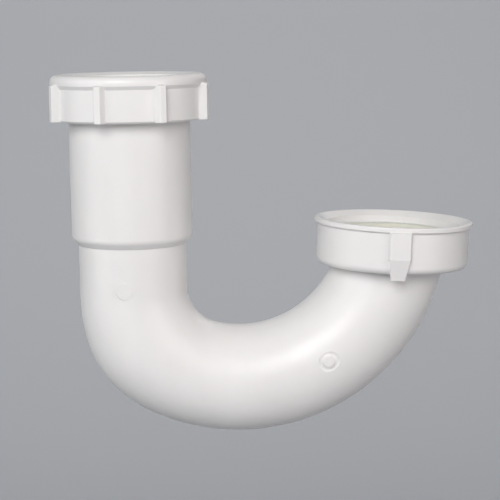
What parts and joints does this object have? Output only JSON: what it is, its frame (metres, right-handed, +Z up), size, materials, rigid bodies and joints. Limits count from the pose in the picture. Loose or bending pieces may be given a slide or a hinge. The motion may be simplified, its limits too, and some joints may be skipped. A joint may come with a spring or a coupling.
{
  "type": "p trap",
  "caption": "Plastic tubular drain trap bend with a slip-joint socket and nut on the inlet and a captive union nut on the outlet.",
  "frame": {"origin": "centre of the inlet socket's mouth", "axes": "+Z up along the inlet socket's axis, +X from the inlet leg towards the outlet leg"},
  "size_m": [0.1489, 0.058, 0.1281],
  "materials": {
    "white_plastic": "satin injection-moulded polypropylene",
    "washer_plastic": "waxy polyethylene"
  },
  "bodies": {
    "bend": {"j_bend": "white_plastic"},
    "inlet_seal": {"inlet_washer": "washer_plastic"},
    "inlet_nut": {"inlet_slip_nut": "white_plastic"},
    "outlet_collar": {"outlet_nut": "white_plastic"},
    "outlet_seal": {"outlet_washer": "washer_plastic"}
  },
  "joints": [
    {"name": "inlet_nut_lift", "type": "slide", "parent": "bend", "child": "inlet_seal", "axis": [0, 0, 1], "range_m": [0, 0.00663]},
    {"name": "inlet_nut_turn", "type": "hinge", "parent": "inlet_seal", "child": "inlet_nut", "pos_m": [0, 0, 0], "axis": [0, 0, 1], "range_deg": [0, 1080]},
    {"name": "outlet_nut_spin", "type": "hinge", "parent": "bend", "child": "outlet_collar", "pos_m": [0.0927, 0, -0.05674], "axis": [0.0523, 0, 0.9986], "continuous": true},
    {"name": "outlet_washer_lift", "type": "slide", "parent": "bend", "child": "outlet_seal", "axis": [0.0523, 0, 0.9986], "range_m": [0, 0.012]}
  ],
  "couplings": [
    {"joint": "inlet_nut_lift", "follows": "inlet_nut_turn", "m_per_rad": 0.00035157}
  ]
}
